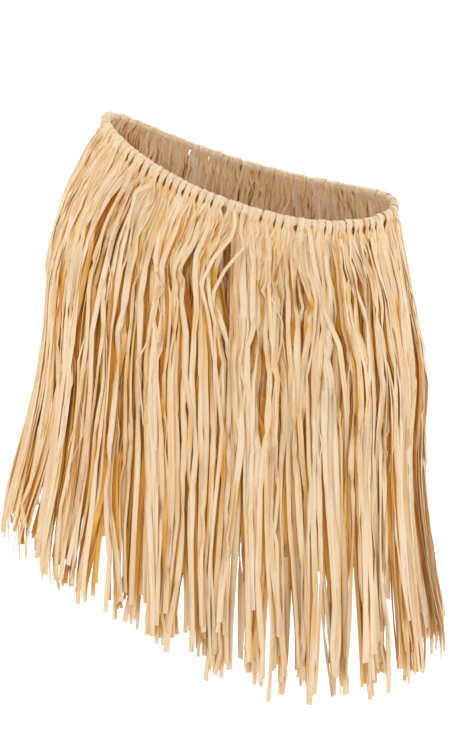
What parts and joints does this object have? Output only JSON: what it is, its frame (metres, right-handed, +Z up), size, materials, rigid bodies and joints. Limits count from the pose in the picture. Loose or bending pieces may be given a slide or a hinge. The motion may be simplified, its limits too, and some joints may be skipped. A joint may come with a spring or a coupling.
{
  "type": "raffia grass skirt",
  "caption": "Worn-form grass skirt: a wrapped waist cord round open hips, with loose raffia ribbons that hang and flare to an uneven hem.",
  "frame": {"origin": "the middle of the waist cord's ring, where the hips hold the skirt", "axes": "+Z up, out of the waist; -Y is the front; +X is the viewer's right as seen from the front, and the left (-X) hip is the raised one"},
  "size_m": [0.4427, 0.3573, 0.5561],
  "materials": {
    "raffia": "dry split palm ribbon, soft satin, striated along its length",
    "wrapped_raffia": "tightly wound dry palm ribbon, soft satin"
  },
  "bodies": {
    "root": {"waist_cord": "wrapped_raffia", "hank_01": "raffia", "hank_02": "raffia", "hank_03": "raffia", "hank_04": "raffia", "hank_05": "raffia", "hank_06": "raffia", "hank_07": "raffia", "hank_08": "raffia", "hank_09": "raffia", "hank_10": "raffia", "hank_11": "raffia", "hank_12": "raffia"}
  },
  "joints": []
}
